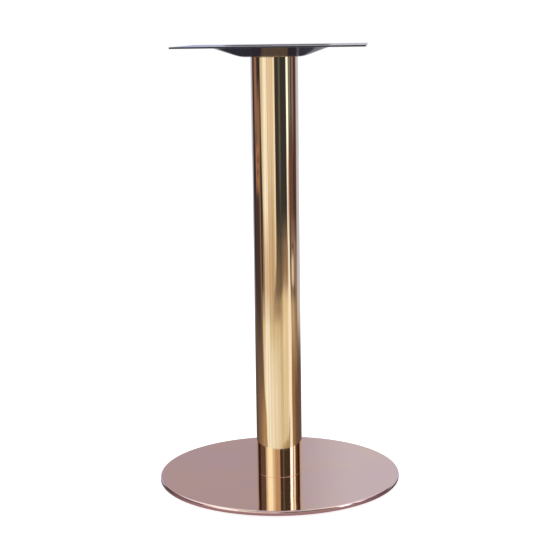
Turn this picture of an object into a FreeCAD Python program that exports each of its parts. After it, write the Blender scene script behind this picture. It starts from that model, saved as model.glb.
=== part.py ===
import FreeCAD, Part
import math
import os

# Pedestal base for a small table: a round foot, a round column and a stamped square
# plate for the table top, pulled together by one long rod inside the column.
# Millimetres. Z is up, and the origin is on the floor, under the centre of the column.

# Overall height, from the floor to the underside of the table top
total_height = 720.0

# Round foot: a pressed stainless cover, folded round a plain steel ballast plate.
# The two bend radii are those of the inside of the sheet.
foot_diameter = 400.0
cover_sheet = 1.0
cover_rim_bend = 2.0
cover_fold_bend = 0.6
cover_hem_width = 9.0
ballast_thickness = 6.0
ballast_rim_clearance = 0.4

# Push-in glides under the foot
glide_count = 4
first_glide_angle = 45.0
glide_inset = 38.0
glide_head_diameter = 25.0
glide_floor_gap = 4.0
glide_edge_radius = 1.5
glide_stem_diameter = 8.0
glide_stem_short_of_cover = 1.0
glide_stem_clearance = 0.1
glide_stem_bevel = 0.1 * glide_stem_diameter

# Column tube
column_diameter = 76.0
column_wall = 1.2
column_end_bevel = 0.4

# Turned hub that centres the foot of the column
hub_height = 16.0
hub_clearance = 0.4
hub_lead_in = 2.0
cover_hole_clearance = 0.3
hub_screw_count = 3
first_hub_screw_angle = 90.0
hub_screw_inset = 12.4
hub_screw_diameter = 8.0
hub_screw_head_diameter = 16.0
hub_screw_below_hub_top = 3.0
hub_screw_key = 5.0
hub_screw_key_depth = 3.0
hub_screw_clearance = 0.1
hub_screw_point_bevel = 0.125 * hub_screw_diameter
hub_hole_extra_depth = 1.0

# Tie rod with its washer and nuts, whose sizes follow the rod's as in the standard series
rod_diameter = 12.0
rod_end_bevel = 1.2
rod_below_hub = 3.0
rod_above_nut = 1.2
rod_below_table_top = 1.0
thread_clearance = 0.05
rod_hole_clearance = 0.5
nut_width = 1.5 * rod_diameter
nut_height = 0.9 * rod_diameter
nut_bore_bevel = 0.8
washer_diameter = 2.5 * rod_diameter
washer_thickness = 2.5

# Stamped top plate with its drawn dish. The dish is as deep as the washer, the nut and
# the end of the rod need, and its flat floor is a little wider than the column.
plate_width = 296.0
plate_thickness = 2.5
plate_corner_radius = 6.0
dish_depth = washer_thickness + nut_height + rod_above_nut + rod_below_table_top
dish_floor_margin = 2.0
dish_mouth_inset = 50.5
dish_floor_bend = 50.0
dish_mouth_bend = 30.0
dish_floor_corner = 4.0
dish_mouth_corner = 27.0
fixing_hole_diameter = 9.0
fixing_hole_inset = 18.0

# Ring welded under the dish, which centres the top of the column
spigot_height = 12.0
spigot_wall = 4.0
spigot_lead_in = 1.5

# Levels, from the floor up
cover_bottom = glide_floor_gap
ballast_bottom = cover_bottom + cover_sheet
ballast_top = ballast_bottom + ballast_thickness
cover_top = ballast_top + cover_sheet
hub_top = ballast_top + hub_height
plate_underside = total_height - plate_thickness
dish_underside = plate_underside - dish_depth
dish_floor = dish_underside + plate_thickness
rod_bottom = ballast_top - rod_below_hub
rod_top = total_height - rod_below_table_top

# Radii that one piece takes from another
foot_radius = foot_diameter / 2
cover_inner_radius = foot_radius - cover_sheet
ballast_radius = cover_inner_radius - ballast_rim_clearance
column_radius = column_diameter / 2
column_bore_radius = column_radius - column_wall
hub_radius = column_bore_radius - hub_clearance
hub_screw_circle_radius = hub_radius - hub_screw_inset
cover_hole_radius = hub_radius + cover_hole_clearance
dish_floor_half_width = column_radius + dish_floor_margin
dish_mouth_half_width = plate_width / 2 - dish_mouth_inset
rod_radius = rod_diameter / 2
thread_bore_radius = rod_radius + thread_clearance
rod_hole_radius = rod_radius + rod_hole_clearance
glide_hole_radius = glide_stem_diameter / 2 + glide_stem_clearance
hub_screw_hole_radius = hub_screw_diameter / 2 + hub_screw_clearance

# Places of the repeated pieces, as angles about the column in degrees
glide_angles = [first_glide_angle + 360 * n / glide_count for n in range(glide_count)]
hub_screw_angles = [first_hub_screw_angle + 360 * n / hub_screw_count for n in range(hub_screw_count)]

# Cutters run this far past the faces that they cut
overrun = 1.0

# Share of the dish wall that its two bends may take up at most
bend_share_limit = 0.9


def cylinder(radius, bottom, top):
    return Part.makeCylinder(radius, top - bottom, FreeCAD.Vector(0, 0, bottom))


def ring(inner_radius, outer_radius, bottom, top):
    return cylinder(outer_radius, bottom, top).cut(
        cylinder(inner_radius, bottom - overrun, top + overrun)
    )


def at_angle(shape, radius, angle):
    """A copy of a shape on the axis, moved out to a radius and an angle in degrees."""
    moved = shape.copy()
    a = math.radians(angle)
    moved.translate(FreeCAD.Vector(radius * math.cos(a), radius * math.sin(a), 0))
    return moved


def turned(points):
    """The solid that a closed outline of radius and height points sweeps about the axis."""
    corners = [FreeCAD.Vector(r, 0, z) for r, z in points]
    outline = Part.makePolygon(corners + corners[:1])
    return Part.Face(outline).revolve(FreeCAD.Vector(0, 0, 0), FreeCAD.Vector(0, 0, 1), 360)


def round_edges_at(solid, height, radius):
    """Rounds the circular edges that lie at one height."""
    close = 1e-6
    edges = []
    for edge in solid.Edges:
        box = edge.BoundBox
        if abs(box.ZMin - height) < close and box.ZLength < close:
            edges.append(edge)
    return solid.makeFillet(radius, edges)


# Round foot

def make_base_cover():
    """One pressed sheet: flat top, rounded rim, and a hem folded in under the ballast."""
    outside = cylinder(foot_radius, cover_bottom, cover_top)
    outside = round_edges_at(outside, cover_top, cover_rim_bend + cover_sheet)
    outside = round_edges_at(outside, cover_bottom, cover_fold_bend + cover_sheet)
    inside = cylinder(cover_inner_radius, ballast_bottom, ballast_top)
    inside = round_edges_at(inside, ballast_top, cover_rim_bend)
    inside = round_edges_at(inside, ballast_bottom, cover_fold_bend)
    below = cylinder(foot_radius - cover_hem_width, cover_bottom - overrun, ballast_bottom + overrun)
    column_hole = cylinder(cover_hole_radius, ballast_bottom, cover_top + overrun)
    return outside.cut(inside).cut(below).cut(column_hole)


def make_ballast_plate():
    """Steel disc whose edges clear the bends of the cover, drilled for all that it holds."""
    plate = turned([
        (0, ballast_bottom),
        (ballast_radius - cover_fold_bend, ballast_bottom),
        (ballast_radius, ballast_bottom + cover_fold_bend),
        (ballast_radius, ballast_top - cover_rim_bend),
        (ballast_radius - cover_rim_bend, ballast_top),
        (0, ballast_top),
    ])
    plate = plate.cut(cylinder(rod_hole_radius, ballast_bottom - overrun, ballast_top + overrun))
    glide_hole = cylinder(glide_hole_radius, ballast_bottom - overrun, ballast_top + overrun)
    for angle in glide_angles:
        plate = plate.cut(at_angle(glide_hole, foot_radius - glide_inset, angle))
    screw_hole = countersink_cutter()
    for angle in hub_screw_angles:
        plate = plate.cut(at_angle(screw_hole, hub_screw_circle_radius, angle))
    return plate


def countersink_cutter():
    """Hole for a countersunk screw: a right-angled cone below, then a straight shank."""
    head_radius = hub_screw_head_diameter / 2 + hub_screw_clearance
    cone_height = head_radius - hub_screw_hole_radius
    return turned([
        (0, ballast_bottom - overrun),
        (head_radius, ballast_bottom - overrun),
        (head_radius, ballast_bottom),
        (hub_screw_hole_radius, ballast_bottom + cone_height),
        (hub_screw_hole_radius, ballast_top + overrun),
        (0, ballast_top + overrun),
    ])


def make_glide():
    """Moulded glide on the axis: flat foot with a rounded edge, and a ribless plug."""
    head_radius = glide_head_diameter / 2
    stem_radius = glide_stem_diameter / 2
    stem_top = ballast_top - glide_stem_short_of_cover
    head = round_edges_at(cylinder(head_radius, 0, ballast_bottom), 0, glide_edge_radius)
    stem = turned([
        (0, glide_floor_gap),
        (stem_radius, glide_floor_gap),
        (stem_radius, stem_top - glide_stem_bevel),
        (stem_radius - glide_stem_bevel, stem_top),
        (0, stem_top),
    ])
    return head.fuse(stem).removeSplitter()


# Hub and column

def make_base_hub():
    """Turned boss, bored for the rod and drilled from below for its screws."""
    hub = turned([
        (0, ballast_top),
        (hub_radius, ballast_top),
        (hub_radius, hub_top - hub_lead_in),
        (hub_radius - hub_lead_in, hub_top),
        (0, hub_top),
    ])
    hub = hub.cut(cylinder(thread_bore_radius, ballast_top - overrun, hub_top + overrun))
    hole_top = hub_top - hub_screw_below_hub_top + hub_hole_extra_depth
    screw_hole = cylinder(hub_screw_hole_radius, ballast_top - overrun, hole_top)
    for angle in hub_screw_angles:
        hub = hub.cut(at_angle(screw_hole, hub_screw_circle_radius, angle))
    return hub


def make_hub_screw():
    """Countersunk screw on the axis, point up, its head flush with the ballast below."""
    head_radius = hub_screw_head_diameter / 2
    shank_radius = hub_screw_diameter / 2
    point = hub_top - hub_screw_below_hub_top
    screw = turned([
        (0, ballast_bottom),
        (head_radius, ballast_bottom),
        (shank_radius, ballast_bottom + head_radius - shank_radius),
        (shank_radius, point - hub_screw_point_bevel),
        (shank_radius - hub_screw_point_bevel, point),
        (0, point),
    ])
    key = hexagon(hub_screw_key, ballast_bottom - overrun, ballast_bottom + hub_screw_key_depth)
    return screw.cut(key)


def make_column_tube():
    """Straight welded and polished tube, its cut ends bevelled on the outside."""
    foot = cover_top
    top = dish_underside
    return turned([
        (column_bore_radius, foot),
        (column_radius - column_end_bevel, foot),
        (column_radius, foot + column_end_bevel),
        (column_radius, top - column_end_bevel),
        (column_radius - column_end_bevel, top),
        (column_bore_radius, top),
    ])


# Rod, nuts and washer

def hexagon(width, bottom, top):
    """Upright hexagonal prism, measured across its flats."""
    across_corners_radius = width / 2 / math.cos(math.radians(30))
    corners = []
    for n in range(6):
        a = math.radians(60 * n)
        x = across_corners_radius * math.cos(a)
        y = across_corners_radius * math.sin(a)
        corners.append(FreeCAD.Vector(x, y, bottom))
    outline = Part.makePolygon(corners + corners[:1])
    return Part.Face(outline).extrude(FreeCAD.Vector(0, 0, top - bottom))


def make_tie_rod():
    """Threaded rod, drawn at its outer diameter, with bevelled ends."""
    return turned([
        (0, rod_bottom),
        (rod_radius - rod_end_bevel, rod_bottom),
        (rod_radius, rod_bottom + rod_end_bevel),
        (rod_radius, rod_top - rod_end_bevel),
        (rod_radius - rod_end_bevel, rod_top),
        (0, rod_top),
    ])


def make_nut(bottom):
    """Hexagonal nut: both faces turned down at 30 degrees, and its bore countersunk."""
    top = bottom + nut_height
    flat_radius = nut_width / 2
    corner_radius = flat_radius / math.cos(math.radians(30))
    face_drop = (corner_radius - flat_radius) * math.tan(math.radians(30))
    turning = turned([
        (0, bottom),
        (flat_radius, bottom),
        (corner_radius, bottom + face_drop),
        (corner_radius, top - face_drop),
        (flat_radius, top),
        (0, top),
    ])
    bore_mouth = thread_bore_radius + nut_bore_bevel
    bore = turned([
        (0, bottom - overrun),
        (bore_mouth, bottom - overrun),
        (bore_mouth, bottom),
        (thread_bore_radius, bottom + nut_bore_bevel),
        (thread_bore_radius, top - nut_bore_bevel),
        (bore_mouth, top),
        (bore_mouth, top + overrun),
        (0, top + overrun),
    ])
    return hexagon(nut_width, bottom, top).common(turning).cut(bore)


def make_washer():
    return ring(rod_hole_radius, washer_diameter / 2, dish_floor, dish_floor + washer_thickness)


# Top plate

def rounded_square(half_width, corner_radius, height):
    """Closed wire of four sides and four corner arcs, from the front side round to the left."""
    h = half_width
    c = half_width - corner_radius
    m = c + corner_radius * math.sqrt(0.5)
    edges = []
    for n in range(4):
        turn = FreeCAD.Rotation(FreeCAD.Vector(0, 0, 1), 90 * n)
        side_start = turn.multVec(FreeCAD.Vector(-c, -h, height))
        side_end = turn.multVec(FreeCAD.Vector(c, -h, height))
        arc_middle = turn.multVec(FreeCAD.Vector(m, -m, height))
        arc_end = turn.multVec(FreeCAD.Vector(h, -c, height))
        edges.append(Part.LineSegment(side_start, side_end).toShape())
        edges.append(Part.Arc(side_end, arc_middle, arc_end).toShape())
    return Part.Wire(edges)


def dish_profile():
    """Underside of the dish wall, from floor to mouth: an arc, a straight and a counter-arc.

    Each entry is the half width there, the height over the dish floor and the slope.
    The two bends are no larger than the wall between them leaves room for.
    """
    run = dish_mouth_half_width - dish_floor_half_width
    largest_bends = (run ** 2 + dish_depth ** 2) / (2 * dish_depth)
    ease = min(1, bend_share_limit * largest_bends / (dish_floor_bend + dish_mouth_bend))
    floor_bend = ease * dish_floor_bend
    mouth_bend = ease * dish_mouth_bend
    bends = floor_bend + mouth_bend
    reach = math.hypot(run, bends - dish_depth)
    slope = math.atan2(run, bends - dish_depth) - math.acos(bends / reach)
    straight = (run - bends * math.sin(slope)) / math.cos(slope)
    steps = 4
    entries = []
    for n in range(steps + 1):
        a = slope * n / steps
        half_width = dish_floor_half_width + floor_bend * math.sin(a)
        entries.append((half_width, floor_bend * (1 - math.cos(a)), a))
    foot_half_width, foot_height, _ = entries[-1]
    for n in range(1, steps):
        s = straight * n / steps
        half_width = foot_half_width + s * math.cos(slope)
        entries.append((half_width, foot_height + s * math.sin(slope), slope))
    for n in range(steps, -1, -1):
        a = slope * n / steps
        half_width = dish_mouth_half_width - mouth_bend * math.sin(a)
        entries.append((half_width, dish_depth - mouth_bend * (1 - math.cos(a)), a))
    return entries


def dish_sections(offset):
    """Wires up one skin of the dish. The offset is taken square to the sheet."""
    run = dish_mouth_half_width - dish_floor_half_width
    wires = []
    for half_width, height, slope in dish_profile():
        share = (half_width - dish_floor_half_width) / run
        corner = dish_floor_corner + (dish_mouth_corner - dish_floor_corner) * share ** 2
        inward = offset * math.sin(slope)
        level = dish_underside + height + offset * math.cos(slope)
        wires.append(rounded_square(half_width - inward, corner - inward, level))
    return wires


def face_with_hole(outline, hole):
    return Part.makeFace([outline, hole], "Part::FaceMakerBullseye")


def make_top_plate():
    """Sheared square sheet with a dish drawn down in its middle to the top of the column."""
    lower = dish_sections(0)
    upper = dish_sections(plate_thickness)
    edge_below = rounded_square(plate_width / 2, plate_corner_radius, plate_underside)
    edge_above = rounded_square(plate_width / 2, plate_corner_radius, total_height)
    faces = [
        face_with_hole(edge_below, lower[-1]),
        face_with_hole(edge_above, upper[-1]),
        Part.Face(lower[0]),
        Part.Face(upper[0]),
    ]
    faces += Part.makeLoft([edge_below, edge_above], False, True).Faces
    faces += Part.makeLoft(lower, False, False).Faces
    faces += Part.makeLoft(upper, False, False).Faces
    shell = Part.makeShell(faces)
    shell.sewShape()
    plate = Part.Solid(shell)
    if plate.Volume < 0:
        plate.reverse()
    plate = plate.cut(cylinder(rod_hole_radius, dish_underside - overrun, dish_floor + overrun))
    fixing_hole = cylinder(fixing_hole_diameter / 2, plate_underside - overrun, total_height + overrun)
    hole_place = plate_width / 2 - fixing_hole_inset
    for x in (-hole_place, hole_place):
        for y in (-hole_place, hole_place):
            hole = fixing_hole.copy()
            hole.translate(FreeCAD.Vector(x, y, 0))
            plate = plate.cut(hole)
    return plate


def make_top_spigot():
    """Ring with a bevelled lower edge, which enters the column as the plate is set down."""
    bottom = dish_underside - spigot_height
    inner_radius = hub_radius - spigot_wall
    return turned([
        (inner_radius, bottom),
        (hub_radius - spigot_lead_in, bottom),
        (hub_radius, bottom + spigot_lead_in),
        (hub_radius, dish_underside),
        (inner_radius, dish_underside),
    ])


def make_parts():
    """Every piece by name, in its place."""
    parts = {
        "base_cover": make_base_cover(),
        "ballast_plate": make_ballast_plate(),
        "base_hub": make_base_hub(),
        "column_tube": make_column_tube(),
        "tie_rod": make_tie_rod(),
        "hub_nut": make_nut(hub_top),
        "top_spigot": make_top_spigot(),
        "top_plate": make_top_plate(),
        "top_washer": make_washer(),
        "top_nut": make_nut(dish_floor + washer_thickness),
    }
    for n, angle in enumerate(glide_angles):
        parts[f"glide_{n + 1}"] = at_angle(make_glide(), foot_radius - glide_inset, angle)
    for n, angle in enumerate(hub_screw_angles):
        parts[f"hub_screw_{n + 1}"] = at_angle(make_hub_screw(), hub_screw_circle_radius, angle)
    return parts


os.makedirs("parts", exist_ok=True)
for name, shape in make_parts().items():
    shape.exportStep(f"parts/{name}.step")
    print(f"{name}: {shape.Volume / 1000:.1f} cubic centimetres, valid {shape.isValid()}")
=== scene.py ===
import math

import bpy
from mathutils import Matrix, Vector


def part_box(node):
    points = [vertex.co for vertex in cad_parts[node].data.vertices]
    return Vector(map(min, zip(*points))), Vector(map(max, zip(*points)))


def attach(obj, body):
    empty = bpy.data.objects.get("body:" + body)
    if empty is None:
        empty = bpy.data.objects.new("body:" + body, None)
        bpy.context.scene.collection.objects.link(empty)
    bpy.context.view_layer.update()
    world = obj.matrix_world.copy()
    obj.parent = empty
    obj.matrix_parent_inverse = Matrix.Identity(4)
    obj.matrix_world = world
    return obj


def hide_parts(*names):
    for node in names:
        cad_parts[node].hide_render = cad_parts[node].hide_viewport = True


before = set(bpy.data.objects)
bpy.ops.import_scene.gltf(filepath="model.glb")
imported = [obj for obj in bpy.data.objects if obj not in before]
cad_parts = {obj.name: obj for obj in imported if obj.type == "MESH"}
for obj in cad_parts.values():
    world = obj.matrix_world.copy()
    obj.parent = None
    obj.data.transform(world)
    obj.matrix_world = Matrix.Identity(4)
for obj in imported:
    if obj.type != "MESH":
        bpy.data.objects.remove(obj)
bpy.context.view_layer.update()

# Pedestal base for a table: mirror-polished foot and column with a coloured vacuum coating,
# a stamped and painted top plate, and the hardware that clamps the three together.
# Metres, in the frame of the CAD model: Z is up and the column stands on the origin.

mm = 0.001


# Small tools

def linear(hex_colour):
    """An sRGB hex colour as the linear values, with an alpha of 1, that a shader takes."""
    channels = []
    for place in (1, 3, 5):
        c = int(hex_colour[place:place + 2], 16) / 255
        channels.append(c / 12.92 if c <= 0.04045 else ((c + 0.055) / 1.055) ** 2.4)
    return (*channels, 1.0)


def add(tree, kind, inputs=None, **settings):
    """Adds a node. An input is a value, or the output socket that is linked to it."""
    node = tree.nodes.new(kind)
    for name, value in settings.items():
        setattr(node, name, value)
    for name, value in (inputs or {}).items():
        if isinstance(value, bpy.types.NodeSocket):
            tree.links.new(value, node.inputs[name])
        else:
            node.inputs[name].default_value = value
    return node


def new_material(name):
    """An empty node material, and its tree."""
    material = bpy.data.materials.new(name)
    material.use_nodes = True
    material.node_tree.nodes.clear()
    return material, material.node_tree


def new_mesh(name, vertices, faces):
    mesh = bpy.data.meshes.new(name)
    mesh.from_pydata(vertices, [], faces)
    return mesh


def linked_object(name, data):
    """A new object in the scene, for a mesh or a camera."""
    made = bpy.data.objects.new(name, data)
    bpy.context.scene.collection.objects.link(made)
    return made


# Camera

def place_camera():
    """Puts the camera where the photo was taken from: a pinhole camera was fitted to the photo."""
    place = Vector((168.174, -2219.278, 744.392)) * mm
    right = Vector((0.997117, 0.074649, -0.013575)).normalized()
    back = -Vector((-0.075873, 0.981501, -0.175783)).normalized()
    up = back.cross(right).normalized()
    right = up.cross(back)
    turn = Matrix((right, up, back)).transposed().to_4x4()
    camera = linked_object("camera", bpy.data.cameras.new("camera"))
    camera.data.sensor_width = 36.0
    camera.data.lens = 90.019
    camera.matrix_world = Matrix.Translation(place) @ turn
    bpy.context.scene.camera = camera


# Studio: a white sweep behind, and soft boxes, a strip light and dark room ahead.
# Directions are in degrees: azimuth from the front (-Y), positive to the right (+X), and
# elevation above the horizon. Each card lies over the ones before it.

curve_reach = 25.0


def edge_curve(tree, elevation, points):
    """Azimuth of a card's side edge, which runs through points of elevation and azimuth."""
    share = add(tree, "ShaderNodeMapRange", {
        "Value": elevation, "From Min": -curve_reach, "From Max": curve_reach,
    })
    curve = add(tree, "ShaderNodeFloatCurve", {"Value": share.outputs["Result"]})
    curve.mapping.extend = "HORIZONTAL"
    line = curve.mapping.curves[0].points
    places = [((e + curve_reach) / (2 * curve_reach), (a + 180) / 360) for e, a in points]
    while len(line) < len(places):
        line.new(0.5, 0.5)
    for point, place in zip(line, sorted(places)):
        point.location = place
        point.handle_type = "VECTOR"
    curve.mapping.update()
    azimuth = add(tree, "ShaderNodeMapRange", {
        "Value": curve.outputs["Value"], "To Min": -180.0, "To Max": 180.0,
    })
    return azimuth.outputs["Result"]


def card(tree, below, azimuth, elevation, colour, brightness, left, right, bottom, top,
         side_softness=2.0, end_softness=2.0, strength=None):
    """Lays one card of light or dark over the studio so far.

    Its edges are degrees, or for a side also a list of points of elevation and azimuth. None
    leaves an edge out. A softness is one width in degrees, or one for each of the two edges.
    """
    if not isinstance(side_softness, tuple):
        side_softness = (side_softness, side_softness)
    if not isinstance(end_softness, tuple):
        end_softness = (end_softness, end_softness)
    inside = strength
    for angle, edge, softness in (
        (azimuth, left, side_softness[0]), (azimuth, right, -side_softness[1]),
        (elevation, bottom, end_softness[0]), (elevation, top, -end_softness[1]),
    ):
        if edge is None:
            continue
        reach = softness / 2
        if isinstance(edge, list):
            middle = edge_curve(tree, elevation, edge)
            start = add(tree, "ShaderNodeMath", {0: middle, 1: -reach}, operation="ADD").outputs[0]
            end = add(tree, "ShaderNodeMath", {0: middle, 1: reach}, operation="ADD").outputs[0]
        else:
            start, end = edge - reach, edge + reach
        # A range that runs backwards falls instead of rising
        step = add(tree, "ShaderNodeMapRange", {
            "Value": angle, "From Min": start, "From Max": end,
        }, interpolation_type="SMOOTHSTEP").outputs["Result"]
        if inside is None:
            inside = step
        else:
            both = add(tree, "ShaderNodeMath", {0: inside, 1: step}, operation="MULTIPLY")
            inside = both.outputs[0]
    shade = [brightness * c for c in linear(colour)[:3]]
    mixed = add(tree, "ShaderNodeMix", {
        "Factor": inside, "A": below, "B": (*shade, 1.0),
    }, data_type="RGBA")
    return mixed.outputs["Result"]


def build_studio():
    """The world that the mirrors show. The camera itself sees plain white in its place."""
    world = bpy.data.worlds.new("studio")
    bpy.context.scene.world = world
    world.use_nodes = True
    tree = world.node_tree
    tree.nodes.clear()
    direction = add(tree, "ShaderNodeTexCoord").outputs["Generated"]
    parts = add(tree, "ShaderNodeSeparateXYZ", {"Vector": direction})
    ahead = add(tree, "ShaderNodeMath", {0: parts.outputs["Y"], 1: -1.0}, operation="MULTIPLY")
    angle = add(tree, "ShaderNodeMath", {
        0: parts.outputs["X"], 1: ahead.outputs[0],
    }, operation="ARCTAN2")
    azimuth = add(tree, "ShaderNodeMath", {0: angle.outputs[0]}, operation="DEGREES").outputs[0]
    height = add(tree, "ShaderNodeMath", {0: parts.outputs["Z"]}, operation="ARCSINE")
    elevation = add(tree, "ShaderNodeMath", {0: height.outputs[0]}, operation="DEGREES").outputs[0]

    # White sweep all round: dimmer above the light's reach, and dark below its foot
    share = add(tree, "ShaderNodeMapRange", {
        "Value": elevation, "From Min": -90.0, "From Max": 90.0,
    })
    sweep = add(tree, "ShaderNodeValToRGB", {"Fac": share.outputs["Result"]})
    stops = [
        (-90, "#8c8c8c"), (-50, "#565658"), (-36, "#444246"), (-22, "#605850"),
        (-14, "#64564e"), (-11.5, "#d6d5e0"), (-2, "#dedee9"), (9, "#dedee9"),
        (14.5, "#b4a7ab"), (22, "#b1a4a8"), (45, "#c8c2c6"), (65, "#ececf0"), (90, "#f6f6fa"),
    ]
    ramp = sweep.color_ramp.elements
    while len(ramp) < len(stops):
        ramp.new(0.5)
    for element, (degrees, colour) in zip(ramp, stops):
        element.position = (degrees + 90) / 180
        element.color = linear(colour)

    shade = sweep.outputs["Color"]

    def lay(colour, brightness, *edges, **settings):
        """Lays one card over all the shade so far."""
        nonlocal shade
        shade = card(tree, shade, azimuth, elevation, colour, brightness, *edges, **settings)

    # The sweep's upper part gets more light on the right
    from_right = add(tree, "ShaderNodeMapRange", {
        "Value": parts.outputs["X"], "From Min": -0.085, "From Max": -0.015,
    }, interpolation_type="SMOOTHSTEP").outputs["Result"]
    lay("#ccc9cd", 1.0, None, None, 11, 60, end_softness=(6, 20), strength=from_right)

    # The sweep's paper runs on under the foot's far side
    lay("#dedae2", 1.0, 158, None, -22, -9, side_softness=10, end_softness=(10, 3))
    lay("#dedae2", 1.0, None, -158, -22, -9, side_softness=10, end_softness=(10, 3))
    # Cool light beside it, which the column's two edges show
    lay("#c6cdf4", 1.0, -174, -120, -11, 8, side_softness=8, end_softness=(4, 6))
    lay("#ced6f4", 1.0, 116, 174, -11, 8, side_softness=8, end_softness=(4, 6))
    # Bright floor right of the middle behind, which only the right end of the plate's dish shows
    lay("#d2ced8", 1.0, 140, None, -42, -16, side_softness=10, end_softness=(6, 4))
    lay("#d2ced8", 1.0, None, -177.4, -42, -16, side_softness=1.6, end_softness=(6, 4))

    # Upper part of the room ahead, which the foot shows to someone who looks from behind
    lay("#9a8e92", 1.0, -130, 128, 21, 62, side_softness=14, end_softness=(3, 14))
    # Dark room ahead; on the right the sweep comes further forward near the floor
    lay(
        "#383a42", 1.0, [(0, -133), (-5, -136), (-9, -139), (-12, -141)],
        [(0, 130), (-5, 127), (-8.3, 122), (-10.3, 118), (-12, 118)],
        -24, 22.5, side_softness=(11, 12), end_softness=(4, 3),
    )
    # Its upper part is dark brown
    lay("#392c26", 1.0, -133, 130, 12.5, 22.5, side_softness=(11, 8), end_softness=(4, 3))
    # Floor at the left: grey-brown and lighter towards the sheet
    lay("#665c5e", 1.0, -150, -60, -24, -11, side_softness=(24, 4), end_softness=(4, 3))
    lay("#887468", 1.0, -118, -60, -24, -14.2, side_softness=(30, 4), end_softness=(4, 4))
    lay("#b89c84", 1.0, -88, -56, -24, -15.5, side_softness=(30, 4), end_softness=(4, 3))
    # Floor at the right: sandy, and darker near the foot
    lay("#6e5e5c", 1.0, 72, 170, -24, -13.2, side_softness=(4, 20), end_softness=(4, 3))
    lay("#c8b49e", 1.0, 72, 110, -14, -11, side_softness=(4, 44), end_softness=(2.5, 1.2))
    lay("#a08262", 1.0, 72, 98, -24, -13, side_softness=(4, 20), end_softness=(4, 3))

    # Pale sheet on the floor ahead, with a rounded near end
    lay("#b0a080", 1.0, -64, 70, -60, -16.4, side_softness=(12, 6), end_softness=(16, 1))
    lay(
        "#e2decc", 1.04,
        [(-10, -76), (-13.4, -75), (-14.9, -70), (-16.6, -58), (-17, -50), (-17.25, -24), (-17.45, 5)],
        [(-10, 76), (-15.4, 66), (-16.6, 57), (-16.9, 46), (-17.1, 35), (-17.3, 18), (-17.45, 5)],
        -17.5, -11.4, side_softness=(8, 4), end_softness=(0.3, 2),
    )
    lay(
        "#f6faff", 1.07,
        [(-10, -71), (-13.4, -70), (-14.9, -66), (-16.6, -57), (-17.2, -54), (-25, -54)], 4,
        -18.4, -13.6, side_softness=(8, 60), end_softness=(0.6, 3),
    )
    lay("#f8f0e0", 1.0, 22, 66, -12.6, -10.4, side_softness=(20, 4), end_softness=(3, 3.6))
    lay(
        "#fdf9f0", 1.0, 52, [(-10, 76), (-15.4, 66), (-16.6, 57), (-25, 57)],
        -16.8, -10.5, side_softness=(34, 4), end_softness=(0.6, 3),
    )
    lay("#d6c6b0", 1.0, -26, 36, -12.2, -10, side_softness=(14, 22), end_softness=(1.5, 2))

    # Main soft box on the left, whose cloth hangs in folds
    lay(
        "#e6dccf", 1.0, [(-2, -71), (-5.4, -67), (-8.3, -63), (-10.3, -61)], 3,
        -11.5, 34, side_softness=(5, 3), end_softness=(1.2, 8),
    )
    lay("#cfbfac", 1.0, -38, 0, -11.4, -6, side_softness=(6, 5), end_softness=(1, 6))
    lay("#a08c84", 1.0, -68, -50, -11.3, -8.2, side_softness=(5, 10), end_softness=(1, 2.4))
    fold_width = 6.0
    fold_place = add(tree, "ShaderNodeMath", {0: azimuth, 1: 1 / fold_width}, operation="MULTIPLY")
    folds = add(tree, "ShaderNodeTexNoise", {
        "W": fold_place.outputs[0], "Scale": 1.0, "Detail": 2.0,
    }, noise_dimensions="1D")
    fold_light = add(tree, "ShaderNodeMapRange", {
        "Value": folds.outputs["Fac"], "From Min": 0.46, "From Max": 0.64,
    })
    lay(
        "#fffaf2", 1.0, -62, 3, -7, 34, side_softness=(4, 3), end_softness=(8, 8),
        strength=fold_light.outputs["Result"],
    )
    lay("#f2eee8", 1.0, -26, -17, -4, 34, side_softness=4, end_softness=(6, 8))
    lay("#ffffff", 1.05, -4, 3, -9, 34, side_softness=3, end_softness=(8, 8))
    lay("#ebf4ff", 1.3, -57, -36, -18, 34, side_softness=(8, 5), end_softness=(6, 8))
    lay("#e8dcd2", 1.0, -58, -34, -11.6, -8.4, side_softness=4, end_softness=(1.4, 3))
    lay("#eaf8e6", 1.0, -67, 7, 12, 34, side_softness=(14, 6), end_softness=(4, 8))
    lay("#d0baa2", 1.0, -18, 7, 12, 34, side_softness=(8, 6), end_softness=(4, 8))
    lay("#f0fcf8", 1.55, -57, -30, 12, 34, side_softness=(12, 12), end_softness=(6, 8))
    # The room's dusky far end, down to a soft point on the sheet, and the slate wall over it
    lay(
        "#85786e", 1.0,
        [(-8.5, 4), (-10, 0), (-11, -8), (-11.6, -16)],
        [(-8, 62), (-9, 58), (-10.2, 40), (-11.3, 26), (-11.9, 12)],
        -11.7, -7, side_softness=(5, 8), end_softness=(0.8, 4),
    )
    lay(
        "#3c4046", 1.0, [(-8, 4), (10, 4), (14, 7.5)], [(-8, 61), (-9, 56), (-10.2, 40), (-11.3, 26)],
        -9.1, 22.5, side_softness=(4, 8), end_softness=(4.5, 3),
    )
    lay("#494238", 1.0, 9, 61, 13, 22.5, side_softness=(4, 8), end_softness=(4, 3))
    lay("#a48e80", 1.0, 40, 61, -10.8, -8.5, side_softness=(34, 5), end_softness=(1.6, 2.4))
    lay("#6c6c70", 1.0, 21.5, 29, -7, 22, side_softness=3, end_softness=4)
    # Soft boxes high at both sides, which only the rim of the foot and the plate show
    lay("#fffafa", 1.5, -112, -52, 34, 66, side_softness=20, end_softness=10)
    lay("#fff6f2", 1.3, 64, 112, 34, 66, side_softness=20, end_softness=10)
    # Soft light high behind at both sides, which runs along the bend of the rim
    lay("#f0f2ff", 1.0, -170, -112, 36, 64, side_softness=(10, 14), end_softness=(10, 12))
    lay("#f0f0ff", 0.95, 112, 170, 36, 64, side_softness=(14, 10), end_softness=(10, 12))
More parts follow.
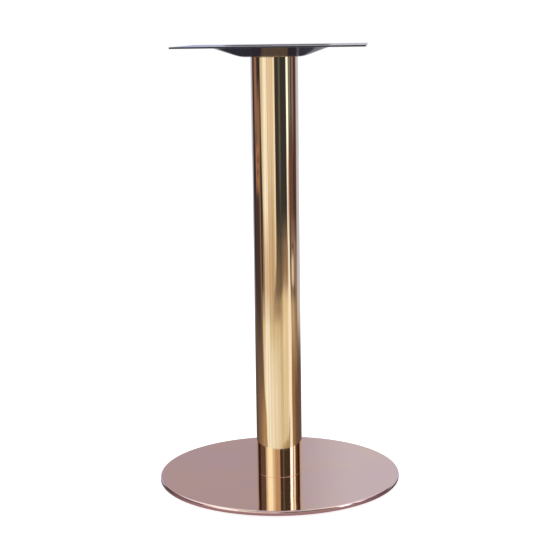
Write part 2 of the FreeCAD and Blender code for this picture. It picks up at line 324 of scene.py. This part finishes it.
    # Brown wall beside the soft box, with a copper-coloured thing on it
    lay("#a07a70", 1.0, -114, -94, -4.6, 9, side_softness=(6, 8), end_softness=(3, 4))
    lay("#94786c", 1.0, -94, -76, -5.4, -2.6, side_softness=(6, 5), end_softness=(0.8, 1.6))
    lay("#b88a76", 1.0, -108, -80, -6.6, -4.8, side_softness=(6, 5), end_softness=0.8)
    lay("#6a4a3e", 1.0, -99, -82, -5.5, -5.2, side_softness=(3, 6), end_softness=0.2)
    lay("#6a4a3e", 1.0, -101, -84, -6.05, -5.8, side_softness=(6, 3), end_softness=0.2)
    lay("#4c4048", 1.0, -120, -76, -12, -6.8, side_softness=8, end_softness=(3, 1))
    lay("#8c7870", 1.0, -85, -78, -13, -4, side_softness=5, end_softness=(4, 4))
    lay("#6a5c5e", 1.0, -106, -70, 12, 22, side_softness=(5, 14), end_softness=4)
    # Strip light on the right
    lay("#e0f0ff", 2.0, 61, 72, -8, 34, side_softness=(4, 5), end_softness=(5, 8))
    lay(
        "#e8f0ff", 1.4, [(-8, 61.5), (-10.3, 64), (-12.4, 65), (-15, 62)],
        [(-8, 71), (-10.3, 73.5), (-12.4, 77.5), (-15, 75.5), (-17, 77)],
        -17.8, -6, side_softness=(4, 5), end_softness=(0.5, 4),
    )
    lay("#ddcbd0", 1.0, 66, 73, -8, -5, side_softness=(4, 3), end_softness=1.5)
    lay("#dde6ff", 2.8, 62, 76, 12, 34, side_softness=(4, 5), end_softness=(4, 8))
    # What stands to the right of it
    lay("#8a8c92", 1.0, 75, 86, -4.4, 8, side_softness=4, end_softness=(3, 4))
    lay("#705450", 1.0, 74, 100, -9, -4.4, side_softness=5, end_softness=(2, 3))
    lay("#8f8088", 1.0, 92, 106, -4.4, 8, side_softness=5, end_softness=(3, 4))
    lay("#5c3c44", 1.0, 107, 122, -8, 8, side_softness=5, end_softness=(4, 4))
    lay("#9c8c8a", 1.0, 81, 113, -11, -8.2, side_softness=(4, 8), end_softness=(1, 2))
    lay("#efe4e0", 1.0, 82, 96, -10.8, -9.4, side_softness=(3, 8), end_softness=0.8)
    # Cables on the floor in front of it
    lay("#5a3c34", 1.0, 79, 106, -11.0, -10.65, side_softness=(3, 6), end_softness=0.3)
    lay("#64463c", 1.0, 85, 98, -9.2, -8.8, side_softness=(3, 5), end_softness=0.3)
    # Higher up there are a bright lamp, a brown post and a warm glow on the sweep
    lay("#f8fcff", 1.3, 81, 93.5, 10, 34, side_softness=4, end_softness=(4, 8))
    lay("#63533f", 1.0, 93.5, 108, 12, 22, side_softness=(3, 8), end_softness=4)
    lay("#b28660", 1.0, 133, 178, 12, 14, side_softness=8, end_softness=(4, 8))

    # Everything ahead is full of small things, which break the reflections into fine lines.
    # They are about 3 degrees wide and 20 degrees high.
    spot = add(tree, "ShaderNodeCombineXYZ", {"X": azimuth, "Y": elevation})
    lines = add(tree, "ShaderNodeMapping", {"Vector": spot.outputs[0], "Scale": (0.34, 0.05, 1.0)})
    clutter = add(tree, "ShaderNodeTexNoise", {
        "Vector": lines.outputs[0], "Scale": 1.0, "Detail": 2.0, "Roughness": 0.75,
    }, noise_dimensions="2D")
    light = add(tree, "ShaderNodeMapRange", {
        "Value": clutter.outputs["Fac"], "From Min": 0.3, "From Max": 0.7,
        "To Min": 0.72, "To Max": 1.2,
    })
    sides = add(tree, "ShaderNodeMath", {0: azimuth}, operation="ABSOLUTE")
    is_ahead = add(tree, "ShaderNodeMapRange", {
        "Value": sides.outputs[0], "From Min": 146.0, "From Max": 126.0,
    }, interpolation_type="SMOOTHSTEP")
    brightness = add(tree, "ShaderNodeMix", {
        "Factor": is_ahead.outputs["Result"], "A": 1.0, "B": light.outputs["Result"],
    }, data_type="FLOAT")
    studio = add(tree, "ShaderNodeBackground", {
        "Color": shade, "Strength": brightness.outputs["Result"],
    })
    white = add(tree, "ShaderNodeBackground", {"Color": (1, 1, 1, 1), "Strength": 1.0})
    path = add(tree, "ShaderNodeLightPath")
    seen = add(tree, "ShaderNodeMixShader", {
        0: path.outputs["Is Camera Ray"], 1: studio.outputs[0], 2: white.outputs[0],
    })
    add(tree, "ShaderNodeOutputWorld", {"Surface": seen.outputs[0]})
    bpy.context.scene.view_settings.view_transform = "Standard"


def build_floor():
    """Plain white floor, lit so evenly that the foot leaves almost no shadow on it."""
    half = 6.0
    corners = [(-half, -half, 0), (half, -half, 0), (half, half, 0), (-half, half, 0)]
    floor = linked_object("studio_floor", new_mesh("studio_floor", corners, [(0, 1, 2, 3)]))
    material, tree = new_material("white_studio_floor")
    surface = add(tree, "ShaderNodeBsdfPrincipled", {
        "Base Color": linear("#f4f4f4"), "Roughness": 0.9, "Specular IOR Level": 0.0,
        "Emission Color": (1, 1, 1, 1), "Emission Strength": 0.8,
    })
    add(tree, "ShaderNodeOutputMaterial", {"Surface": surface.outputs[0]})
    floor.data.materials.append(material)
    floor.visible_glossy = False


def build_near_floor():
    """Glowing ring of floor that the foot's rim mirrors, with the foot's shade painted on it.

    Only reflections show it, and its painted shade is darker at both sides.
    """
    segments = 96
    inner, outer, height = 150 * mm, 224 * mm, 0.1 * mm
    corners, faces = [], []
    for n in range(segments):
        a = 2 * math.pi * n / segments
        for radius in (inner, outer):
            corners.append((radius * math.cos(a), radius * math.sin(a), height))
        here, there = 2 * n, 2 * (n + 1) % (2 * segments)
        faces.append((here, here + 1, there + 1, there))
    ring = linked_object("painted_shade_floor_ring", new_mesh("painted_shade_floor_ring", corners, faces))
    material, tree = new_material("painted_shade_floor_glow")
    place = add(tree, "ShaderNodeTexCoord").outputs["Object"]
    parts = add(tree, "ShaderNodeSeparateXYZ", {"Vector": place})
    aside = add(tree, "ShaderNodeMath", {0: parts.outputs["X"]}, operation="ABSOLUTE")
    # Painted shade: the glow is dimmer towards both sides
    light = add(tree, "ShaderNodeMapRange", {
        "Value": aside.outputs[0], "From Min": 130 * mm, "From Max": 205 * mm,
        "To Min": 1.15, "To Max": 0.5,
    }, interpolation_type="SMOOTHSTEP")
    # The ring glows in the colour of shaded floor, a painted shade that no lamp casts
    surface = add(tree, "ShaderNodeEmission", {
        "Color": linear("#987e84"), "Strength": light.outputs["Result"],
    })
    add(tree, "ShaderNodeOutputMaterial", {"Surface": surface.outputs[0]})
    ring.data.materials.append(material)
    for ray in ("camera", "diffuse", "transmission", "volume_scatter", "shadow"):
        setattr(ring, "visible_" + ray, False)


place_camera()
build_studio()
build_floor()
build_near_floor()


# Finishes

def coated_mirror(name, colour, other_colour, grain_stretch, grain_tone, ripple_height):
    """Stainless steel, polished on cloth wheels to a mirror, with a thin vacuum coating.

    The coating tints what the mirror shows, a little unevenly. The wheels leave a fine grain,
    and the sheet is never quite flat, which makes long soft waves and small ripples.
    """
    material, tree = new_material(name)
    place = add(tree, "ShaderNodeTexCoord").outputs["Object"]
    along_grain = add(tree, "ShaderNodeMapping", {"Vector": place, "Scale": grain_stretch})
    # Wheel marks are far finer than this, and are drawn 2 mm apart to show at all
    grain = add(tree, "ShaderNodeTexNoise", {
        "Vector": along_grain.outputs[0], "Scale": 1 / (2 * mm), "Detail": 3.0, "Roughness": 0.6,
    })
    handling = add(tree, "ShaderNodeTexNoise", {
        "Vector": place, "Scale": 1 / (60 * mm), "Detail": 5.0, "Roughness": 0.6,
    })
    haze = add(tree, "ShaderNodeMapRange", {
        "Value": handling.outputs["Fac"], "From Min": 0.35, "From Max": 0.75,
        "To Min": 0.02, "To Max": 0.055,
    })
    rough = add(tree, "ShaderNodeMath", {
        0: grain.outputs["Fac"], 1: 0.03, 2: haze.outputs["Result"],
    }, operation="MULTIPLY_ADD")
    tone = add(tree, "ShaderNodeMapRange", {
        "Value": grain.outputs["Fac"], "From Min": 0.3, "From Max": 0.7,
        "To Min": grain_tone, "To Max": 1.0,
    })
    patches = add(tree, "ShaderNodeTexNoise", {
        "Vector": place, "Scale": 1 / (110 * mm), "Detail": 2.0, "Roughness": 0.5,
    })
    share = add(tree, "ShaderNodeMapRange", {
        "Value": patches.outputs["Fac"], "From Min": 0.35, "From Max": 0.65,
    })
    coating = add(tree, "ShaderNodeMix", {
        "Factor": share.outputs["Result"], "A": linear(colour), "B": linear(other_colour),
    }, data_type="RGBA")
    tint = add(tree, "ShaderNodeMix", {
        "Factor": 1.0, "A": coating.outputs["Result"], "B": tone.outputs["Result"],
    }, data_type="RGBA", blend_type="MULTIPLY")
    wave = add(tree, "ShaderNodeTexNoise", {
        "Vector": place, "Scale": 1 / (70 * mm), "Detail": 1.5, "Roughness": 0.35,
    })
    unevenness = add(tree, "ShaderNodeBump", {
        "Strength": 1.0, "Distance": 0.22 * mm, "Height": wave.outputs["Fac"],
    })
    ripple = add(tree, "ShaderNodeTexNoise", {"Vector": place, "Scale": 1 / (16 * mm), "Detail": 1.0})
    rippled = add(tree, "ShaderNodeBump", {
        "Strength": 1.0, "Distance": ripple_height, "Height": ripple.outputs["Fac"],
        "Normal": unevenness.outputs[0],
    })
    brushed = add(tree, "ShaderNodeBump", {
        "Strength": 1.0, "Distance": 0.002 * mm, "Height": grain.outputs["Fac"],
        "Normal": rippled.outputs[0],
    })
    surface = add(tree, "ShaderNodeBsdfPrincipled", {
        "Base Color": tint.outputs["Result"], "Metallic": 1.0,
        "Roughness": rough.outputs[0], "Normal": brushed.outputs[0],
    })
    add(tree, "ShaderNodeOutputMaterial", {"Surface": surface.outputs[0]})
    return material


def dark_paint():
    """Stamped steel with a thin dark stoved paint, which has a fine orange peel."""
    material, tree = new_material("dark_stoved_paint")
    place = add(tree, "ShaderNodeTexCoord").outputs["Object"]
    peel = add(tree, "ShaderNodeTexNoise", {"Vector": place, "Scale": 1 / (1.6 * mm), "Detail": 2.0})
    dust = add(tree, "ShaderNodeTexNoise", {
        "Vector": place, "Scale": 1 / (45 * mm), "Detail": 6.0, "Roughness": 0.65,
    })
    tint = add(tree, "ShaderNodeMix", {
        "Factor": dust.outputs["Fac"], "A": linear("#191722"), "B": linear("#24212d"),
    }, data_type="RGBA")
    rough = add(tree, "ShaderNodeMapRange", {
        "Value": dust.outputs["Fac"], "From Min": 0.3, "From Max": 0.7, "To Min": 0.1, "To Max": 0.16,
    })
    relief = add(tree, "ShaderNodeBump", {
        "Strength": 1.0, "Distance": 0.003 * mm, "Height": peel.outputs["Fac"],
    })
    surface = add(tree, "ShaderNodeBsdfPrincipled", {
        "Base Color": tint.outputs["Result"], "Roughness": rough.outputs["Result"],
        "Normal": relief.outputs[0], "IOR": 1.5,
    })
    add(tree, "ShaderNodeOutputMaterial", {"Surface": surface.outputs[0]})
    return material


def plated_zinc():
    """Steel hardware with bright electroplated zinc: cool, slightly cloudy and a little blue."""
    material, tree = new_material("bright_zinc_plating")
    place = add(tree, "ShaderNodeTexCoord").outputs["Object"]
    cloud = add(tree, "ShaderNodeTexNoise", {
        "Vector": place, "Scale": 1 / (9 * mm), "Detail": 4.0, "Roughness": 0.5,
    })
    tint = add(tree, "ShaderNodeMix", {
        "Factor": cloud.outputs["Fac"], "A": linear("#c0c7d0"), "B": linear("#d9dcdd"),
    }, data_type="RGBA")
    rough = add(tree, "ShaderNodeMapRange", {
        "Value": cloud.outputs["Fac"], "To Min": 0.2, "To Max": 0.34,
    })
    surface = add(tree, "ShaderNodeBsdfPrincipled", {
        "Base Color": tint.outputs["Result"], "Metallic": 1.0, "Roughness": rough.outputs["Result"],
    })
    add(tree, "ShaderNodeOutputMaterial", {"Surface": surface.outputs[0]})
    return material


def turned_steel():
    """Bare steel from the lathe: fine rings of the tool's feed, and faint stains."""
    material, tree = new_material("turned_bare_steel")
    place = add(tree, "ShaderNodeTexCoord").outputs["Object"]
    flat = add(tree, "ShaderNodeMapping", {"Vector": place, "Scale": (1.0, 1.0, 0.0)})
    radius = add(tree, "ShaderNodeVectorMath", {0: flat.outputs[0]}, operation="LENGTH")
    height = add(tree, "ShaderNodeSeparateXYZ", {"Vector": place})
    path = add(tree, "ShaderNodeMath", {
        0: radius.outputs["Value"], 1: height.outputs["Z"],
    }, operation="ADD")
    # A real feed is about 0.2 mm, and is drawn at 0.6 mm so that it shows
    feed = 0.6 * mm
    turns = add(tree, "ShaderNodeMath", {
        0: path.outputs[0], 1: 2 * math.pi / feed,
    }, operation="MULTIPLY")
    groove = add(tree, "ShaderNodeMath", {0: turns.outputs[0]}, operation="SINE")
    relief = add(tree, "ShaderNodeBump", {
        "Strength": 1.0, "Distance": 0.004 * mm, "Height": groove.outputs[0],
    })
    stain = add(tree, "ShaderNodeTexNoise", {"Vector": place, "Scale": 1 / (12 * mm), "Detail": 5.0})
    tint = add(tree, "ShaderNodeMix", {
        "Factor": stain.outputs["Fac"], "A": linear("#8f8b86"), "B": linear("#bdbab5"),
    }, data_type="RGBA")
    surface = add(tree, "ShaderNodeBsdfPrincipled", {
        "Base Color": tint.outputs["Result"], "Metallic": 1.0, "Roughness": 0.32,
        "Normal": relief.outputs[0],
    })
    add(tree, "ShaderNodeOutputMaterial", {"Surface": surface.outputs[0]})
    return material


def rolled_steel():
    """Hot-rolled plate for the ballast: blue-grey mill scale, patchy and half matt."""
    material, tree = new_material("hot_rolled_steel_with_scale")
    place = add(tree, "ShaderNodeTexCoord").outputs["Object"]
    patches = add(tree, "ShaderNodeTexNoise", {
        "Vector": place, "Scale": 1 / (35 * mm), "Detail": 8.0, "Roughness": 0.7,
    })
    tint = add(tree, "ShaderNodeMix", {
        "Factor": patches.outputs["Fac"], "A": linear("#2b2f36"), "B": linear("#63605c"),
    }, data_type="RGBA")
    rough = add(tree, "ShaderNodeMapRange", {
        "Value": patches.outputs["Fac"], "To Min": 0.4, "To Max": 0.75,
    })
    relief = add(tree, "ShaderNodeBump", {
        "Strength": 1.0, "Distance": 0.03 * mm, "Height": patches.outputs["Fac"],
    })
    surface = add(tree, "ShaderNodeBsdfPrincipled", {
        "Base Color": tint.outputs["Result"], "Metallic": 0.6, "Roughness": rough.outputs["Result"],
        "Normal": relief.outputs[0],
    })
    add(tree, "ShaderNodeOutputMaterial", {"Surface": surface.outputs[0]})
    return material


def moulded_nylon():
    """Black injection-moulded nylon: the mould's spark-eroded texture keeps it matt."""
    material, tree = new_material("black_moulded_nylon")
    place = add(tree, "ShaderNodeTexCoord").outputs["Object"]
    texture = add(tree, "ShaderNodeTexNoise", {
        "Vector": place, "Scale": 1 / (0.5 * mm), "Detail": 3.0, "Roughness": 0.6,
    })
    scuffs = add(tree, "ShaderNodeTexNoise", {"Vector": place, "Scale": 1 / (8 * mm), "Detail": 4.0})
    tint = add(tree, "ShaderNodeMix", {
        "Factor": scuffs.outputs["Fac"], "A": linear("#121212"), "B": linear("#242322"),
    }, data_type="RGBA")
    relief = add(tree, "ShaderNodeBump", {
        "Strength": 1.0, "Distance": 0.02 * mm, "Height": texture.outputs["Fac"],
    })
    surface = add(tree, "ShaderNodeBsdfPrincipled", {
        "Base Color": tint.outputs["Result"], "Roughness": 0.5, "Normal": relief.outputs[0],
        "IOR": 1.53,
    })
    add(tree, "ShaderNodeOutputMaterial", {"Surface": surface.outputs[0]})
    return material


gold_mirror = coated_mirror(
    "gold_coated_mirror_steel", "#F4D8AE", "#F5D9B0", (1.0, 1.0, 0.012), 0.93, 0.002 * mm,
)
rose_mirror = coated_mirror(
    "rose_coated_mirror_steel", "#F6DCD0", "#F4D9DA", (1.0, 1.0, 1.0), 0.975, 0.024 * mm,
)
paint = dark_paint()
zinc = plated_zinc()
bare_steel = turned_steel()
scaled_steel = rolled_steel()
nylon = moulded_nylon()


# Pieces

def arc(centre_radius, centre_height, radius, start, end, steps):
    """Points of radius and height round a bend, from one angle to another in degrees."""
    points = []
    for n in range(steps + 1):
        a = math.radians(start + (end - start) * n / steps)
        points.append((centre_radius + radius * math.cos(a), centre_height + radius * math.sin(a)))
    return points


def with_steady_flats(outline, step):
    """Adds a point close to both ends of each long side, so that smooth shading keeps it flat."""
    points = []
    for n, (r, z) in enumerate(outline):
        next_r, next_z = outline[(n + 1) % len(outline)]
        length = math.hypot(next_r - r, next_z - z)
        points.append((r, z))
        if length > 4 * step:
            for share in (step / length, 1 - step / length):
                points.append((r + (next_r - r) * share, z + (next_z - z) * share))
    return points


def spun(name, outline, segments):
    """A closed skin of revolution from a closed outline that runs anticlockwise."""
    vertices = []
    for n in range(segments):
        a = 2 * math.pi * n / segments
        vertices += [(r * math.cos(a), r * math.sin(a), z) for r, z in outline]
    count = len(outline)
    faces = []
    for n in range(segments):
        here, there = n * count, (n + 1) % segments * count
        for i in range(count):
            j = (i + 1) % count
            faces.append((here + i, there + i, there + j, here + j))
    mesh = new_mesh(name, vertices, faces)
    mesh.shade_smooth()
    mesh.set_sharp_from_angle(angle=math.radians(20))
    return linked_object(name, mesh)


def finish_piece(piece, material, slot, *replaced):
    if not piece.data.materials:
        piece.data.materials.append(material)
    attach(piece, "root")
    if replaced:
        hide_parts(*replaced)


def make_column():
    """Round tube, mirror polished: its cut ends are chamfered a little, steeper than 45 degrees."""
    low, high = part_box("column_tube")
    radius = high.x
    spigot_clearance = 0.4 * mm
    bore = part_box("top_spigot")[1].x + spigot_clearance
    chamfer_height, chamfer_depth = 0.6 * mm, 0.3 * mm
    outline = with_steady_flats([
        (bore, low.z), (radius - chamfer_depth, low.z), (radius, low.z + chamfer_height),
        (radius, high.z - chamfer_height), (radius - chamfer_depth, high.z), (bore, high.z),
    ], 0.2 * mm)
    piece = spun("polished_column", outline, 256)
    finish_piece(piece, gold_mirror, "gold_steel", "column_tube")


def make_foot_cover():
    """Pressed sheet with a rounded rim, folded under at the edge of the ballast plate."""
    low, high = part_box("base_cover")
    radius = high.x
    hub_clearance = 0.3 * mm
    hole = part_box("base_hub")[1].x + hub_clearance
    sheet, hem = 1.0 * mm, 9.0 * mm
    # Inner radius of each bend, and the outer one, which is a sheet larger
    rim_bend, fold_bend = 2.0 * mm, 0.6 * mm
    rim, fold = rim_bend + sheet, fold_bend + sheet
    outline = with_steady_flats(
        [(radius - hem, low.z)]
        + arc(radius - fold, low.z + fold, fold, -90, 0, 8)
        + arc(radius - rim, high.z - rim, rim, 0, 90, 14)
        + [(hole, high.z), (hole, high.z - sheet)]
        + arc(radius - rim, high.z - rim, rim_bend, 90, 0, 10)
        + arc(radius - fold, low.z + fold, fold_bend, 0, -90, 6)
        + [(radius - hem, low.z + sheet)],
        0.25 * mm,
    )
    piece = spun("pressed_foot_cover", outline, 384)
    finish_piece(piece, rose_mirror, "rose_gold_steel", "base_cover")


def thread_tree():
    """Geometry nodes that turn a cylinder into a rod threaded at both ends."""
    tree = bpy.data.node_groups.new("rod_thread", "GeometryNodeTree")
    for name, kind in (
        ("Radius", "NodeSocketFloat"), ("Bottom", "NodeSocketFloat"), ("Length", "NodeSocketFloat"),
        ("Thread Length", "NodeSocketFloat"), ("Pitch", "NodeSocketFloat"),
        ("Depth", "NodeSocketFloat"), ("Material", "NodeSocketMaterial"),
    ):
        tree.interface.new_socket(name, in_out="INPUT", socket_type=kind)
    tree.interface.new_socket("Geometry", in_out="OUTPUT", socket_type="NodeSocketGeometry")
    given = add(tree, "NodeGroupInput").outputs
    radius, depth, pitch = given["Radius"], given["Depth"], given["Pitch"]
    length, thread = given["Length"], given["Thread Length"]

    # The blank is as long as the two threads, with 8 rings of points to each turn
    points_round, rings_per_turn = 24, 8
    turns = add(tree, "ShaderNodeMath", {0: thread, 1: pitch}, operation="DIVIDE")
    ring_count = add(tree, "ShaderNodeMath", {
        0: turns.outputs[0], 1: 2.0 * rings_per_turn,
    }, operation="MULTIPLY")
    rings = add(tree, "FunctionNodeFloatToInt", {
        "Float": ring_count.outputs[0],
    }, rounding_mode="ROUND")
    blank_height = add(tree, "ShaderNodeMath", {0: thread, 1: 2.0}, operation="MULTIPLY")
    blank = add(tree, "GeometryNodeMeshCylinder", {
        "Vertices": points_round, "Side Segments": rings.outputs[0], "Radius": radius,
        "Depth": blank_height.outputs[0],
    })

    # It is pulled apart at its middle, where the plain shank comes
    place = add(tree, "GeometryNodeInputPosition")
    parts = add(tree, "ShaderNodeSeparateXYZ", {"Vector": place.outputs[0]}).outputs
    gap = add(tree, "ShaderNodeMath", {
        0: length, 1: blank_height.outputs[0],
    }, operation="SUBTRACT")
    half_gap = add(tree, "ShaderNodeMath", {0: gap.outputs[0], 1: 0.5}, operation="MULTIPLY")
    side = add(tree, "ShaderNodeMath", {0: parts["Z"]}, operation="SIGN")
    height = add(tree, "ShaderNodeMath", {
        0: side.outputs[0], 1: half_gap.outputs[0], 2: parts["Z"],
    }, operation="MULTIPLY_ADD")
    from_middle = add(tree, "ShaderNodeMath", {0: parts["Z"]}, operation="ABSOLUTE")
    from_end = add(tree, "ShaderNodeMath", {
        0: thread, 1: from_middle.outputs[0],
    }, operation="SUBTRACT")

    # The groove climbs by one pitch in a turn. Its flanks lie between these two shares of a
    # pitch, measured from the middle of the crest.
    flank_start, flank_end = 0.06, 0.4
    angle = add(tree, "ShaderNodeMath", {0: parts["Y"], 1: parts["X"]}, operation="ARCTAN2")
    turned = add(tree, "ShaderNodeMath", {0: angle.outputs[0], 1: 2 * math.pi}, operation="DIVIDE")
    climbed = add(tree, "ShaderNodeMath", {0: height.outputs[0], 1: pitch}, operation="DIVIDE")
    phase = add(tree, "ShaderNodeMath", {
        0: climbed.outputs[0], 1: turned.outputs[0],
    }, operation="SUBTRACT")
    from_crest = add(tree, "ShaderNodeMath", {0: phase.outputs[0], 1: 0.5}, operation="PINGPONG")
    groove = add(tree, "ShaderNodeMapRange", {
        "Value": from_crest.outputs[0], "From Min": flank_start, "From Max": flank_end,
    })

    # It runs out over the last turn, just before the shank
    last_turn = add(tree, "ShaderNodeMath", {0: thread, 1: pitch}, operation="SUBTRACT")
    thread_end = add(tree, "ShaderNodeMath", {0: thread, 1: 0.99}, operation="MULTIPLY")
    run_out = add(tree, "ShaderNodeMapRange", {
        "Value": from_end.outputs[0], "From Min": last_turn.outputs[0],
        "From Max": thread_end.outputs[0], "To Min": 1.0, "To Max": 0.0,
    })
    share = add(tree, "ShaderNodeMath", {
        0: groove.outputs["Result"], 1: run_out.outputs["Result"],
    }, operation="MULTIPLY")
    cut = add(tree, "ShaderNodeMath", {0: share.outputs[0], 1: depth}, operation="MULTIPLY")
    thread_radius = add(tree, "ShaderNodeMath", {0: radius, 1: cut.outputs[0]}, operation="SUBTRACT")

    # Each end is chamfered down to the root of the thread
    root = add(tree, "ShaderNodeMath", {0: radius, 1: depth}, operation="SUBTRACT")
    chamfer = add(tree, "ShaderNodeMath", {
        0: root.outputs[0], 1: from_end.outputs[0],
    }, operation="ADD")
    new_radius = add(tree, "ShaderNodeMath", {
        0: thread_radius.outputs[0], 1: chamfer.outputs[0],
    }, operation="MINIMUM")
    scale = add(tree, "ShaderNodeMath", {0: new_radius.outputs[0], 1: radius}, operation="DIVIDE")
    x = add(tree, "ShaderNodeMath", {0: parts["X"], 1: scale.outputs[0]}, operation="MULTIPLY")
    y = add(tree, "ShaderNodeMath", {0: parts["Y"], 1: scale.outputs[0]}, operation="MULTIPLY")
    middle = add(tree, "ShaderNodeMath", {
        0: length, 1: 0.5, 2: given["Bottom"],
    }, operation="MULTIPLY_ADD")
    z = add(tree, "ShaderNodeMath", {0: height.outputs[0], 1: middle.outputs[0]}, operation="ADD")
    moved = add(tree, "ShaderNodeCombineXYZ", {
        "X": x.outputs[0], "Y": y.outputs[0], "Z": z.outputs[0],
    })
    shaped = add(tree, "GeometryNodeSetPosition", {
        "Geometry": blank.outputs["Mesh"], "Position": moved.outputs[0],
    })
    real = add(tree, "GeometryNodeRealizeInstances", {"Geometry": shaped.outputs[0]})
    finished = add(tree, "GeometryNodeSetMaterial", {
        "Geometry": real.outputs[0], "Material": given["Material"],
    })
    add(tree, "NodeGroupOutput", {"Geometry": finished.outputs[0]})
    return tree


def grown(name, tree, sizes):
    """The plain mesh object that a geometry node tree makes from its named sizes."""
    seed = linked_object(name + "_seed", bpy.data.meshes.new(name + "_seed"))
    modifier = seed.modifiers.new(name, "NODES")
    modifier.node_group = tree
    for item in tree.interface.items_tree:
        if item.in_out == "INPUT" and item.name in sizes:
            modifier[item.identifier] = sizes[item.name]
    evaluated = seed.evaluated_get(bpy.context.evaluated_depsgraph_get())
    mesh = bpy.data.meshes.new_from_object(evaluated)
    mesh.name = name
    bpy.data.objects.remove(seed)
    return linked_object(name, mesh)


def make_tie_rod():
    """M12 rod of 1.75 mm pitch, drawn threaded where its nuts and the hub hold it."""
    low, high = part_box("tie_rod")
    piece = grown("threaded_tie_rod", thread_tree(), {
        "Radius": high.x, "Bottom": low.z, "Length": high.z - low.z,
        "Thread Length": 49 * mm, "Pitch": 1.75 * mm, "Depth": 1.07 * mm, "Material": zinc,
    })
    finish_piece(piece, zinc, "zinc_plated_steel", "tie_rod")


def dress_cad_nodes():
    """Gives the pieces whose CAD shape is right their finishes, by how their names start."""
    finishes = {
        "top_plate": paint, "top_spigot": paint, "ballast_plate": scaled_steel,
        "base_hub": bare_steel, "hub_screw": zinc, "hub_nut": zinc, "top_nut": zinc,
        "top_washer": zinc, "glide": nylon,
    }
    for node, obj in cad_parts.items():
        for start, finish in finishes.items():
            if node.startswith(start):
                for slot in obj.material_slots:
                    slot.material = finish


make_column()
make_foot_cover()
make_tie_rod()
dress_cad_nodes()
